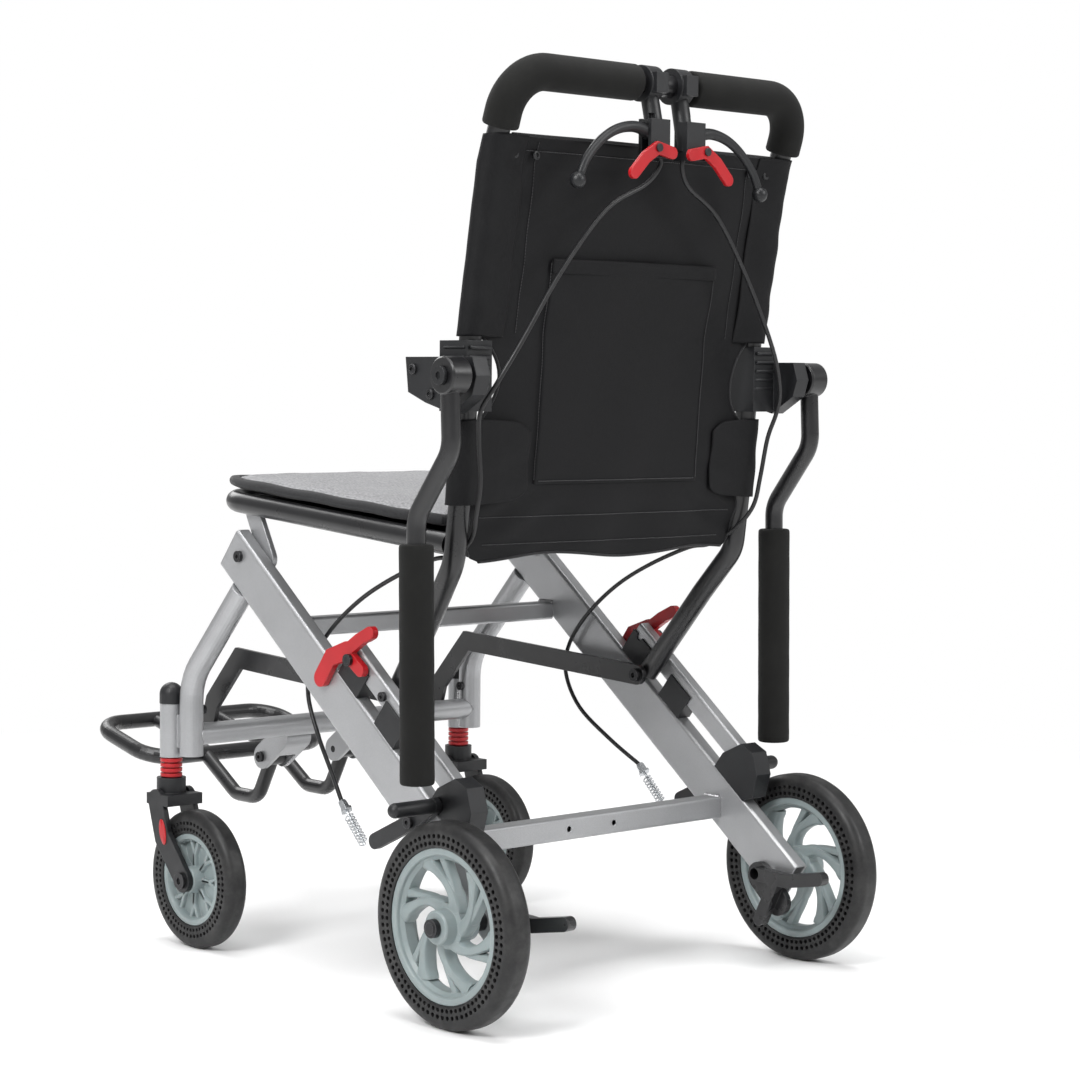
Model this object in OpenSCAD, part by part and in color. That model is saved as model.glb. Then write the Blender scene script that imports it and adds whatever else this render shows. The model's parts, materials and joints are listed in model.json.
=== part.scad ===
// Folding transport wheelchair: two bent-leg side frames, a tube seat loop, a tall push-bar back,
// flip-down armrests, swivel casters, fixed rear wheels and cable brakes.
// X runs across the chair (left is +X), the chair faces -Y and Z is up from the floor.

/* [Wheels] */
// Radius of a rear tyre
rear_r = 100; // [95:1:104]
// Distance from the middle of the chair to the middle of a rear wheel
rear_x = 247; // [245:1:260]
// Radius of a caster tyre
caster_r = 75; // [70:1:78]
// Distance from the middle of the chair to a caster
caster_x = 209; // [207:1:212]
// Horizontal distance from a caster's stem to its wheel axle
caster_trail = 52; // [46:1:56]

/* [Side frames] */
// Height of the rectangular rail tube
rail_h = 50; // [46:1:52]
// Thickness of the rectangular rail tube
rail_t = 18; // [16:1:20]
// Slope of the rail in degrees
rail_angle = 38.4; // [38:0.1:39]
// Distance from the middle of the chair to the middle of a rail
rail_x = 202; // [201:1:203]

/* [Tubes] */
// Radius of the back and seat tubes
tube_r = 11; // [10:0.5:11]
// Radius of the front leg tubes
leg_r = 13; // [12:0.5:13]
// Radius of the armrest tubes
arm_r = 9.5; // [9:0.5:10]
// Radius of the foam on the push bar
grip_r = 18; // [16:0.5:19]
// Radius of the foam on the armrests
pad_r = 17; // [15:0.5:18]

/* [Hidden] */
$fn = 48;

// The working coordinates start at the rear axle line; origin_y moves the middle of the
// chair's length, between the footrest's front and the back of the rear tyres, to zero.
footrest_front = -798;
origin_y = -(footrest_front + rear_r) / 2;
run_gap = 0.05;
black = [0.07, 0.07, 0.08];
silver = [0.72, 0.73, 0.75];
red = [0.8, 0.1, 0.12];
wheel_grey = [0.68, 0.76, 0.77];

// Rail frame: origin on the rail's centre line above the axle, local -Y climbs forward.
rail_z = 113.4;
rail_front = 523;
rail_back = 35;
rail_wall = 2;
strut_h = 22;
strut_t = 15;
strut_offset = 54.5;
strut_top = 300;
strut_bottom = 84;

leg_y = -489;
leg_bottom = 206;
stem_y = -465 - caster_trail;
stem_top = 262;
stem_bottom = 203;
stem_r = 5;
housing_r = 12.5;
cross_front_z = 229;

pivot_c = [180, -168, 298];
back_x = 198;
bar_y = 22;
bar_z = 911;
seat_x = 196;
seat_front = -446;
arm_x = 253;
arm_y = -2;
arm_z = 622;
axle_r = 6;

back_low = [pivot_c, [190, -95, 393], [back_x, -58, 440], [back_x, -50, 500],
    [back_x, -36, 660], [back_x, -8, 826], [back_x, bar_y, bar_z]];
function flip(p) = [-p[0], p[1], p[2]];
function reversed(v) = [for (i = [len(v) - 1 : -1 : 0]) v[i]];
back_path = concat(back_low, [for (p = reversed(back_low)) flip(p)]);
grip_path = [[back_x, 4, 858], [back_x, bar_y, bar_z], [38, bar_y, bar_z]];
seat_rear = -70;
seat_path = [[seat_x, seat_rear, 458], [seat_x, -346, 481], [seat_x, seat_front, 489],
    [-seat_x, seat_front, 489], [-seat_x, -346, 481], [-seat_x, seat_rear, 458]];
cable_r = 2.3;
cable_route = [[10, 36, 826], [30, 32, 812], [78, 26, 785], [130, 20, 725], [176, 14, 656],
    [200, 4, 614], [209, -8, 588], [204, -16, 560], [198, -20, 520], [196, -28, 488],
    [187, -45, 464], [181, -76, 446], [182, -110, 440], [183, -170, 418], [184, -222, 392],
    [185, -268, 358], [185, -298, 322], [185, -304, 288], [188, -284, 250], [200, -246, 216],
    [213, -212, 190]];
cable_steps = 2;

function unit(v) = v / norm(v);
// Point at u from 0 to 1 on the smooth curve from b to c, with neighbours a and d
function smooth_at(a, b, c, d, u) = 0.5 * (2 * b + (c - a) * u
    + (2 * a - 5 * b + 4 * c - d) * u * u + (3 * b - a - 3 * c + d) * u * u * u);
function smooth(p, steps) = let (n = len(p) - 1) concat(
    [for (i = [0 : n - 1], k = [0 : steps - 1])
        smooth_at(p[max(i - 1, 0)], p[i], p[i + 1], p[min(i + 2, n)], k / steps)], [p[n]]);
function normals(t, i, last) = i == len(t) ? []
    : let (m = unit(last - (last * t[i]) * t[i])) concat([m], normals(t, i + 1, m));

module placed() { translate([0, origin_y, 0]) children(); }
module at_side(side) { mirror([side < 0 ? 1 : 0, 0, 0]) children(); }
module both_sides() { for (side = [1, -1]) at_side(side) children(); }
module on_rail(s = 0, h = 0, x = rail_x) {
    translate([x, 0, rail_z]) rotate([-rail_angle, 0, 0]) translate([0, -s, h]) children();
}
// Cylinder along X with its middle at the origin
module bar_across(r, l) { rotate([0, 90, 0]) cylinder(r = r, h = l, center = true); }
module rounded_rect(w, h, r) {
    square([w - 2 * r, h], center = true);
    square([w, h - 2 * r], center = true);
    for (a = [-1, 1], b = [-1, 1]) translate([a * (w / 2 - r), b * (h / 2 - r)]) circle(r);
}
// Outline points on one side of a 2D line, h away from it
function beside(p, h) = let (last = len(p) - 1) [for (i = [0 : last])
    let (a = unit(p[min(i, last - 1) + 1] - p[min(i, last - 1)]),
        b = unit(p[max(i, 1)] - p[max(i, 1) - 1]), m = unit(a + b))
        p[i] + h / (m * a) * [-m[1], m[0]]];
function round_end(c, d, h) = [for (k = [1 : end_steps - 1])
    let (a = 180 * k / end_steps) c + h * (cos(a) * [-d[1], d[0]] + sin(a) * d)];
end_steps = 10;
// Flat strip of width w along 2D points, with round ends
module strip(pts, w) {
    last = len(pts) - 1;
    polygon(concat(beside(pts, w / 2), round_end(pts[last], unit(pts[last] - pts[last - 1]), w / 2),
        reversed(beside(pts, -w / 2)), round_end(pts[0], unit(pts[0] - pts[1]), w / 2)));
}
// Puts a shape drawn with (x, y) = (chair Y, chair Z) into the side plane, thick along X
module side_plate(x, t) {
    translate([x - t / 2, 0, 0]) rotate([90, 0, 90]) linear_extrude(t) children();
}
module rod(a, b, r) {
    let (d = b - a)
        translate(a) rotate([0, acos(d[2] / norm(d)), atan2(d[1], d[0])]) cylinder(r = r, h = norm(d));
}
// Centre line along points, with an arc of radius bend at each inner point
function arc(a, u, w, bend) = let (turn = acos(max(-1, min(1, u * w))), n = unit(cross(u, w)),
    e = cross(u, n), steps = 1 + ceil(turn / 14))
    [for (k = [0 : steps]) a - bend * e + bend * (cos(turn * k / steps) * e + sin(turn * k / steps) * u)];
function bent(p, bend, closed = false) = let (n = len(p))
    [for (i = [0 : n - 1])
        let (u = unit(p[i] - p[(i + n - 1) % n]), w = unit(p[(i + 1) % n] - p[i]),
            cut = bend * tan(acos(max(-1, min(1, u * w))) / 2))
        each (!closed && (i == 0 || i == n - 1) ? [p[i]] : arc(p[i] - cut * u, u, w, bend))];
// Solid tube of round section along centre points; a closed one joins its last ring to its first
module swept(p, r, sides, closed = false) {
    n = len(p);
    t = [for (i = [0 : n - 1]) unit(closed ? p[(i + 1) % n] - p[(i + n - 1) % n]
        : p[min(i + 1, n - 1)] - p[max(i - 1, 0)])];
    side = normals(t, 0, abs(t[0][1]) < 0.9 ? [0, 1, 0] : [1, 0, 0]);
    points = [for (i = [0 : n - 1], k = [0 : sides - 1])
        p[i] + r * (cos(k * 360 / sides) * side[i] + sin(k * 360 / sides) * cross(t[i], side[i]))];
    skin = [for (i = [0 : closed ? n - 1 : n - 2], k = [0 : sides - 1])
        [i * sides + k, ((i + 1) % n) * sides + k, ((i + 1) % n) * sides + (k + 1) % sides,
            i * sides + (k + 1) % sides]];
    ends = closed ? [] : [[for (k = [0 : sides - 1]) k],
        [for (k = [sides - 1 : -1 : 0]) (n - 1) * sides + k]];
    polyhedron(points, concat(skin, ends), convexity = 8);
}
tube_sides = 24;
module tube_run(p, r, bend, closed = false) { swept(bent(p, bend, closed), r, tube_sides, closed); }
module bolt_head(r = 6, h = 4) {
    difference() {
        cylinder(r = r, h = h);
        translate([0, 0, h / 2]) cylinder(r = r / 2.2, h = h, $fn = 6);
    }
}
// Bolt head standing on a face that looks along +X
module side_bolt(r = 6, h = 4) { rotate([0, 90, 0]) bolt_head(r, h); }

// ---- side frames ----
module rail(side) {
    color(silver) at_side(side) difference() {
        on_rail(-rail_back) rotate([90, 0, 0]) linear_extrude(rail_front + rail_back) difference() {
            rounded_rect(rail_t, rail_h, 4);
            rounded_rect(rail_t - 2 * rail_wall, rail_h - 2 * rail_wall, 2);
        }
        translate([rail_x, 0, rear_r]) bar_across(axle_r + run_gap, 4 * rail_t);
    }
}
module leg_line() { tube_run([[rail_x, -360, 432], [rail_x, leg_y, 290], [rail_x, leg_y, leg_bottom]],
    leg_r, 60); }
module leg(side) {
    color(silver) at_side(side) difference() {
        union() {
            difference() {
                leg_line();
                on_rail(rail_front / 2) cube([4 * rail_t, 2 * rail_front, rail_h], center = true);
                on_rail(rail_front / 2, rail_h) cube([4 * rail_t, 2 * rail_front, rail_h + 2], center = true);
            }
            translate([caster_x, stem_y, stem_bottom]) cylinder(r = housing_r, h = stem_top - stem_bottom);
            translate([rail_x, stem_y, leg_bottom + 8]) cube([8, leg_y - stem_y, 36]);
        }
        translate([caster_x, stem_y, stem_bottom - 1]) cylinder(r = stem_r + run_gap, h = 50);
    }
}
module front_cross_tube() {
    color(silver) difference() {
        translate([0, leg_y, cross_front_z]) bar_across(12, 2 * rail_x);
        both_sides() translate([rail_x, leg_y, leg_bottom]) cylinder(r = leg_r, h = 60);
    }
}
module square_cross(y, z, size, bolt_x) {
    inner = rail_x - rail_t / 2;
    difference() {
        translate([-inner, y, z]) rotate([90, 0, 90]) linear_extrude(2 * inner) difference() {
            rounded_rect(size, size, 3);
            rounded_rect(size - 3, size - 3, 1.5);
        }
        if (bolt_x > 0) for (s = [-1, 1]) translate([s * bolt_x, y, z]) rotate([90, 0, 0])
            cylinder(r = 3, h = 2 * size, center = true);
    }
}
module middle_cross_tube() { color(silver) square_cross(-345, 356, 20, 0); }
module rear_cross_tube() { color(silver) square_cross(-78, 161, 23, 32); }
hinge_y = -540;
hinge_z = 188;
hinge_x = 52;
hinge_r = 4;
module footrest_brackets() {
    color(silver) for (s = [-1, 1]) difference() {
        side_plate(s * hinge_x, 34) strip([[leg_y - 16, 214], [hinge_y, hinge_z]], 28);
        side_plate(s * hinge_x, 24) translate([hinge_y - 32, hinge_z - 34]) square([60, 70]);
        translate([0, leg_y, cross_front_z]) bar_across(12.1, 2 * rail_x);
        translate([s * hinge_x, hinge_y, hinge_z]) bar_across(hinge_r, 60);
    }
}
module stem_caps() {
    color(black) both_sides() translate([caster_x, stem_y, stem_top]) {
        cylinder(r = housing_r + 0.5, h = 10);
        translate([0, 0, 10]) intersection() {
            sphere(r = housing_r + 0.5);
            translate([-20, -20, 0]) cube(40);
        }
    }
}
boot_low = 181;
module stem_boots() {
    color(red) both_sides() translate([caster_x, stem_y, boot_low]) difference() {
        union() {
            cylinder(r = 9, h = stem_bottom - boot_low - 0.1);
            for (k = [0 : 3]) translate([0, 0, 0.5 + k * 5.5]) cylinder(r = 12, h = 3.6);
        }
        translate([0, 0, -1]) cylinder(r = stem_r + 1, h = 40);
    }
}
link_x = 165;
module fold_links() {
    color(black) both_sides() difference() {
        side_plate(link_x, 5)
            strip([[pivot_c[1], pivot_c[2]], [-452, 314], [-500, 262], [-508, 236]], 22);
        translate([link_x, pivot_c[1], pivot_c[2]]) bar_across(4, 20);
        translate([link_x, leg_y, cross_front_z]) bar_across(12.1, 20);
    }
}
module struts() {
    color(silver) both_sides() on_rail(strut_bottom, strut_offset) rotate([90, 0, 0])
        linear_extrude(strut_top - strut_bottom) difference() {
            rounded_rect(strut_t, strut_h, 3);
            rounded_rect(strut_t - 3, strut_h - 3, 1.5);
        }
}
saddle_wall = 0.6;
hook_pin_r = 4;
module strut_saddles() {
    low = rail_h / 2;
    gap_h = strut_offset - strut_h / 2 - low;
    color(black) both_sides() difference() {
        for (s = [190, strut_top - 36]) on_rail(s, low)
            translate([-rail_t / 2 - saddle_wall, -38, 0]) difference() {
                cube([rail_t + 2 * saddle_wall, 38, gap_h + 12]);
                translate([rail_t / 2 + saddle_wall - strut_t / 2 - 0.1, -1, gap_h])
                    cube([strut_t + 0.2, 40, 20]);
            }
        on_rail(hook_s, strut_offset) bar_across(hook_pin_r + 0.1, 60);
    }
}
hook_s = 290;
hook_x = rail_x + rail_t / 2 + 4.3;
module fold_hook(side) {
    color(red) at_side(side) on_rail(hook_s, strut_offset, hook_x) difference() {
        rotate([90, 0, 90]) translate([0, 0, -3.5]) linear_extrude(7) difference() {
            union() {
                strip([[-24, -48], [-25, -20], [-10, 4]], 18);
                strip([[-10, 4], [-3, 24], [6, 42]], 13);
                strip([[-6, 0], [18, 2]], 13);
            }
            translate([17, 22]) circle(13);
        }
        bar_across(hook_pin_r + run_gap, 20);
    }
}

// ---- brakes on the rear wheels ----
block_s = 63;
brake_pivot = [-95, 184];
module brake_block(side) {
    low = rail_h / 2;
    color(black) at_side(side) difference() {
        on_rail(0, 0) rotate([90, 0, 90]) translate([0, 0, -rail_t / 2 - 2]) linear_extrude(rail_t + 4)
            polygon([[-block_s, low], [-block_s - 53, low], [-block_s - 53, low + 20],
                [-block_s - 40, low + 46], [-block_s - 22, low + 50], [-block_s - 2, low + 36],
                [-block_s + 8, low + 12]]);
        on_rail(strut_bottom, strut_offset) translate([0, -60, 0])
            cube([strut_t + 0.2, 120, strut_h + 0.2], center = true);
    }
}
module brake_arm(side) {
    peg = [-62, 204];
    x = rail_x + rail_t / 2 + 7;
    color(black) at_side(side) {
        difference() {
            side_plate(x, 7) strip([[-150, 158], brake_pivot, peg], 16);
            translate([x, brake_pivot[0], brake_pivot[1]]) bar_across(4 + run_gap, 20);
        }
        translate([x + 26, peg[0], peg[1]]) bar_across(7.5, 46);
        translate([x + 49, peg[0], peg[1]]) sphere(7.5);
    }
}
module tip_levers() {
    plate_x = rail_x - rail_t / 2 - 4;
    color(black) both_sides() {
        difference() {
            side_plate(plate_x, 7) strip([[-4, 96], [22, 72]], 30);
            translate([plate_x, 0, rear_r]) bar_across(axle_r + 0.1, 20);
        }
        difference() {
            side_plate(plate_x - 9, 11) strip([[0, 100], [44, 98], [88, 106]], 14);
            translate([plate_x, 0, rear_r]) bar_across(axle_r + 0.1, 40);
        }
        side_plate(plate_x - 9, 11) strip([[26, 92], [6, 52]], 13);
    }
}
module axle(side) {
    color([0.2, 0.2, 0.21]) at_side(side) {
        translate([rear_x - 14, 0, rear_r]) bar_across(axle_r, 86);
        translate([rear_x + 22, 0, rear_r]) side_bolt(9, 6);
        translate([rail_x + rail_t / 2 + 6, 0, rear_r]) difference() {
            bar_across(10, 11.9);
            bar_across(axle_r, 20);
        }
    }
}
module frame_bolts() {
    face = rail_x + rail_t / 2;
    color(black) both_sides() {
        on_rail(502, 6, face) side_bolt();
        on_rail(hook_s, strut_offset, rail_x + strut_t / 2) rotate([0, 90, 0])
            cylinder(r = hook_pin_r, h = 14);
        on_rail(hook_s, strut_offset, hook_x + 4) side_bolt();
        on_rail(235, strut_offset, rail_x + strut_t / 2) side_bolt(5);
        translate([rail_x + rail_t / 2, brake_pivot[0], brake_pivot[1]]) rotate([0, 90, 0])
            cylinder(r = 4, h = 10.4);
        translate([rail_x + rail_t / 2 + 10.5, brake_pivot[0], brake_pivot[1]]) side_bolt();
        translate([link_x - 2.5, pivot_c[1], pivot_c[2]]) mirror([1, 0, 0]) side_bolt(7, 5);
        translate([link_x - 2.5, pivot_c[1], pivot_c[2]]) rotate([0, 90, 0]) cylinder(r = 4, h = 6);
        translate([rail_x - leg_r, leg_y, 256]) rotate([0, -90, 0]) bolt_head(5, 4);
        translate([hinge_x, hinge_y, hinge_z]) bar_across(hinge_r, 34);
        translate([hinge_x + 17, hinge_y, hinge_z]) side_bolt(6, 4);
    }
}

// ---- seat ----
module seat_frame() {
    color(black) difference() {
        tube_run(seat_path, tube_r, 45);
        rod(back_low[2] - [0, 4, 30], back_low[3], tube_r + 0.2);
    }
}
module seat_tabs() {
    color(silver) both_sides() difference() {
        side_plate(rail_x - rail_t / 2 - 3, 5.8) strip([[-392, 476], [-366, 428]], 22);
        rod([seat_x, -346, 481.2], [seat_x, seat_front, 489.2], tube_r + 0.1);
    }
}
pad_w = 396;
pad_d = 372;
module seat_pad() {
    color([0.5, 0.5, 0.5]) translate([0, (seat_front - 84) / 2, 494.5])
        rotate([-4.6, 0, 0]) linear_extrude(15, center = true) rounded_rect(pad_w, pad_d, 26);
}

// ---- back ----
module back_tube() { color(black) tube_run(back_path, tube_r, 42); }
module push_grips() {
    color([0.12, 0.12, 0.12]) both_sides() difference() {
        tube_run(grip_path, grip_r, 42);
        tube_run(concat([[back_x, -8, 826]], [grip_path[1]], [[0, bar_y, bar_z]]), tube_r + 0.3, 42);
    }
}
perch_x = 21;
module lever_perch(side) {
    color(black) at_side(side) difference() {
        union() {
            translate([perch_x, bar_y, bar_z]) bar_across(18, 18);
            translate([perch_x, bar_y + 17, bar_z]) cube([16, 12, 20], center = true);
            rod([perch_x, bar_y + 4, bar_z - 10], [perch_x - 1, 38, 846], 9);
            translate([perch_x + 4, 38, 856]) cube([26, 18, 38], center = true);
        }
        translate([0, bar_y, bar_z]) bar_across(tube_r + 0.05, 4 * grip_r);
        translate([perch_x + 14, 38, 862]) cube([20, 9.2, 38], center = true);
    }
    color(black) at_side(side) {
        translate([lever_pivot[0], 38, lever_pivot[2]]) rotate([90, 0, 0])
            cylinder(r = 2.45, h = 18, center = true);
        translate([latch_pivot[0], 47, latch_pivot[2]]) rotate([-90, 0, 0]) cylinder(r = 2.45, h = 7);
        translate([latch_pivot[0], 54, latch_pivot[2]]) rotate([-90, 0, 0]) cylinder(r = 4, h = 1.6);
    }
}
lever_pivot = [perch_x + 12, 38, 862];
module brake_lever(side) {
    color(black) at_side(side) translate([0, lever_pivot[1], 0]) rotate([90, 0, 0]) difference() {
        linear_extrude(8.4, center = true) strip([[lever_pivot[0], 862], [52, 866], [76, 862],
            [98, 850], [116, 832], [125, 816]], 11);
        translate([lever_pivot[0], 862]) cylinder(r = 2.5, h = 20, center = true);
    }
    color(black) at_side(side) translate([128, lever_pivot[1], 810]) sphere(8);
}
latch_pivot = [34, 52, 846];
module park_latch(side) {
    color(red) at_side(side) translate([0, latch_pivot[1] - 0.4, 0]) rotate([90, 0, 0])
        linear_extrude(4, center = true) difference() {
            strip([[latch_pivot[0] - 20, 842], [latch_pivot[0], 846], [50, 836], [66, 820]], 12);
            translate([latch_pivot[0], latch_pivot[2]]) circle(2.5);
        }
}
sling_top = 852;
sling_low = 442;
// Y of the back tube's centre line at height z, by the points of back_low
function along(a, b, z) = a[1] + (z - a[2]) * (b[1] - a[1]) / (b[2] - a[2]);
function back_y_at(z) = z < 660 ? along(back_low[3], back_low[4], z)
    : z < 826 ? along(back_low[4], back_low[5], z) : along(back_low[5], back_low[6], z);
hem_half = 177;
module back_sling() {
    wide = back_x - tube_r - 3;
    color(black) {
        side_plate(0, 2 * wide) polygon([
            [back_y_at(sling_top) - 6, sling_top], [back_y_at(sling_top) + 2, sling_top],
            [back_y_at(660) + 2, 660], [back_y_at(500) + 6, 500], [back_y_at(500) - 2, 500],
            [back_y_at(660) - 6, 660]]);
        side_plate(0, 2 * hem_half) polygon([[back_y_at(500) + 6, 500], [-62, sling_low],
            [-70, sling_low], [back_y_at(500) - 2, 500]]);
        both_sides() for (z = [[664, 824], [506, 574]]) sleeve(z[0], z[1]);
    }
}
module sleeve(z0, z1) {
    difference() {
        rod([back_x, back_y_at(z0), z0], [back_x, back_y_at(z1), z1], tube_r + 5);
        rod([back_x, back_y_at(z0 - 5), z0 - 5], [back_x, back_y_at(z1 + 2), z1 + 2], tube_r + 0.4);
    }
}

// ---- armrests ----
module arm_bracket(side) {
    color(black) at_side(side) {
        difference() {
            union() {
                translate([back_x + 3, back_y_at(622), 622]) cube([32, 40, 68], center = true);
                side_plate(back_x + 27, 18) polygon([[-86, 606], [-90, 640], [8, 640], [14, 622],
                    [8, 604], [-22, 586], [-60, 596]]);
            }
            rod(back_low[3], back_low[4], tube_r + 0.1);
        }
        translate([arm_x - 8, arm_y, arm_z]) bar_across(5, 38.4);
        translate([arm_x + 11.1, arm_y, arm_z]) side_bolt(9, 4);
    }
}
module arm_tube(side) {
    color(black) at_side(side) difference() {
        union() {
            translate([arm_x - 1.5, arm_y, arm_z]) bar_across(18, 24);
            tube_run([[arm_x, arm_y, arm_z - 8], [arm_x, 1, 552], [arm_x, -50, 486],
                [arm_x, -46, 236]], arm_r, 34);
        }
        translate([arm_x, arm_y, arm_z]) bar_across(5 + run_gap, 60);
    }
}
module arm_pad(side) {
    color([0.12, 0.12, 0.12]) at_side(side) difference() {
        rod([arm_x, -49.6, 461], [arm_x, -46, 229], pad_r);
        rod([arm_x, -49.7, 470], [arm_x, -46, 235.8], arm_r + 0.05);
    }
}

// ---- wheels ----
module ring_2d(outer, inner) { difference() { circle(outer, $fn = 96); circle(inner, $fn = 96); } }
// One curved spoke: a piece of an offset ring between hub and rim
module curved_spoke(hub, rim, bow, w) {
    intersection() {
        ring_2d(rim + 1, hub - 1);
        translate([(hub + rim) / 2, -bow]) ring_2d(bow + w / 2 + (rim - hub) / 2 * 0.2,
            bow - w / 2 + (rim - hub) / 2 * 0.2);
        translate([0, -rim]) square([rim * 2, rim * 2]);
        translate([0, -8]) square([rim * 2, rim]);
    }
}
module wheel_rim(r, rim_w, hub_r, hub_w, spokes, spoke_w) {
    rotate([0, 90, 0]) difference() {
        union() {
            linear_extrude(rim_w, center = true) ring_2d(r, r - 12);
            linear_extrude(hub_w, center = true) circle(hub_r);
            linear_extrude(rim_w * 0.6, center = true) for (k = [0 : spokes - 1])
                rotate(k * 360 / spokes) curved_spoke(hub_r, r - 12, 34, spoke_w);
        }
        cylinder(r = axle_r + run_gap, h = 100, center = true);
    }
}
module rear_rim(side) {
    color(wheel_grey) at_side(side) translate([rear_x, 0, rear_r]) wheel_rim(75, 26, 20, 43, 6, 11);
}
module tyre(outer, inner, w) {
    round_r = 9;
    rotate([0, 90, 0]) rotate_extrude($fn = 96) {
        translate([inner + (outer - inner - round_r) / 2, 0])
            square([outer - inner - round_r, w], center = true);
        translate([outer - round_r, 0]) rounded_rect(2 * round_r, w, round_r - 1);
    }
}
module rear_tyre(side) {
    color(black) at_side(side) translate([rear_x, 0, rear_r]) tyre(rear_r, 75.1, 30);
}
caster_y = stem_y + caster_trail;
module caster_fork(side) {
    color(black) at_side(side) difference() {
        union() {
            translate([caster_x, stem_y, 150]) cylinder(r = stem_r, h = 96);
            translate([caster_x, stem_y, 160]) cylinder(r = 16, h = 20.5);
            translate([caster_x, stem_y + 6, 158]) cube([46, 40, 12], center = true);
            for (s = [-1, 1]) side_plate(caster_x + s * 20, 6)
                strip([[stem_y + 2, 156], [stem_y + 14, 118], [caster_y, caster_r]], 26);
        }
        translate([caster_x, caster_y, caster_r]) bar_across(axle_r, 100);
        translate([caster_x, caster_y, caster_r]) bar_across(caster_r + 4, 33);
    }
}
module caster_rim(side) {
    color(wheel_grey) at_side(side) translate([caster_x, caster_y, caster_r])
        rotate([0, 90, 0]) difference() {
            union() {
                linear_extrude(22, center = true) ring_2d(50, 42);
                linear_extrude(32, center = true) circle(14);
                linear_extrude(14, center = true) for (k = [0 : 7]) rotate(k * 45)
                    translate([12, -2.5]) square([32, 5]);
            }
            cylinder(r = axle_r + run_gap, h = 100, center = true);
        }
}
module caster_tyre(side) {
    color(black) at_side(side) translate([caster_x, caster_y, caster_r]) tyre(caster_r, 50.1, 26);
}
module caster_axle(side) {
    color([0.2, 0.2, 0.21]) at_side(side) translate([caster_x, caster_y, caster_r]) {
        bar_across(axle_r, 46);
        for (s = [0, 1]) mirror([s, 0, 0]) translate([23, 0, 0]) side_bolt(9, 4);
    }
}

// ---- cables and footrest ----
module brake_cables() {
    color(black) both_sides() swept(smooth(cable_route, cable_steps), cable_r, 8);
}
module cable_adjusters() {
    tip = cable_route[len(cable_route) - 1];
    color(silver) both_sides() {
        rod(tip + [0, 0.5, -0.6], tip + [0, 11, -13], 5);
        rod(tip + [0, 11.2, -13.2], tip + [0, 38, -38], 6);
    }
}
foot_pitch = 14;
foot_w = 128;
foot_d = 120;
module footrest() {
    loop_y = footrest_front + 9.2;
    color(black) {
        translate([0, loop_y, 205]) rotate([-foot_pitch, 0, 0]) {
            tube_run([[foot_w, 0, 0], [foot_w, foot_d, 0], [-foot_w, foot_d, 0], [-foot_w, 0, 0]],
                9, 36, closed = true);
            for (x = [-44, 44]) rod([x, 0, 0], [x, foot_d, 0], 7);
        }
        for (s = [-1, 1]) difference() {
            tube_run([[s * hinge_x, loop_y + foot_d * cos(foot_pitch), 205 - foot_d * sin(foot_pitch)],
                [s * hinge_x, -610, 136], [s * hinge_x, -568, 136], [s * hinge_x, hinge_y, hinge_z]], 8, 22);
            translate([s * hinge_x, hinge_y, hinge_z]) bar_across(hinge_r + run_gap, 60);
        }
        for (s = [-1, 1]) translate([s * hinge_x, hinge_y, hinge_z]) difference() {
            bar_across(11, 22);
            bar_across(hinge_r + run_gap, 60);
        }
    }
}

placed() rail(1);  // rail_left
placed() rail(-1);  // rail_right
placed() leg(1);  // leg_left
placed() leg(-1);  // leg_right
placed() front_cross_tube();
placed() middle_cross_tube();
placed() rear_cross_tube();
placed() footrest_brackets();
placed() stem_caps();
placed() stem_boots();
placed() fold_links();
placed() struts();
placed() strut_saddles();
placed() fold_hook(1);  // fold_hook_left
placed() fold_hook(-1);  // fold_hook_right
placed() brake_block(1);  // brake_block_left
placed() brake_block(-1);  // brake_block_right
placed() brake_arm(1);  // brake_arm_left
placed() brake_arm(-1);  // brake_arm_right
placed() tip_levers();
placed() axle(1);  // axle_left
placed() axle(-1);  // axle_right
placed() frame_bolts();
placed() seat_frame();
placed() seat_tabs();
placed() seat_pad();
placed() back_tube();
placed() push_grips();
placed() lever_perch(1);  // lever_perch_left
placed() lever_perch(-1);  // lever_perch_right
placed() brake_lever(1);  // brake_lever_left
placed() brake_lever(-1);  // brake_lever_right
placed() park_latch(1);  // park_latch_left
placed() park_latch(-1);  // park_latch_right
placed() back_sling();
placed() arm_bracket(1);  // arm_bracket_left
placed() arm_bracket(-1);  // arm_bracket_right
placed() arm_tube(1);  // arm_tube_left
placed() arm_tube(-1);  // arm_tube_right
placed() arm_pad(1);  // arm_pad_left
placed() arm_pad(-1);  // arm_pad_right
placed() rear_rim(1);  // rear_rim_left
placed() rear_rim(-1);  // rear_rim_right
placed() rear_tyre(1);  // rear_tyre_left
placed() rear_tyre(-1);  // rear_tyre_right
placed() caster_fork(1);  // caster_fork_left
placed() caster_fork(-1);  // caster_fork_right
placed() caster_rim(1);  // caster_rim_left
placed() caster_rim(-1);  // caster_rim_right
placed() caster_tyre(1);  // caster_tyre_left
placed() caster_tyre(-1);  // caster_tyre_right
placed() caster_axle(1);  // caster_axle_left
placed() caster_axle(-1);  // caster_axle_right
placed() brake_cables();
placed() cable_adjusters();
placed() footrest();
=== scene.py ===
import json
import math

import bmesh
import bpy
import numpy as np
from mathutils import Matrix, Vector


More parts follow.
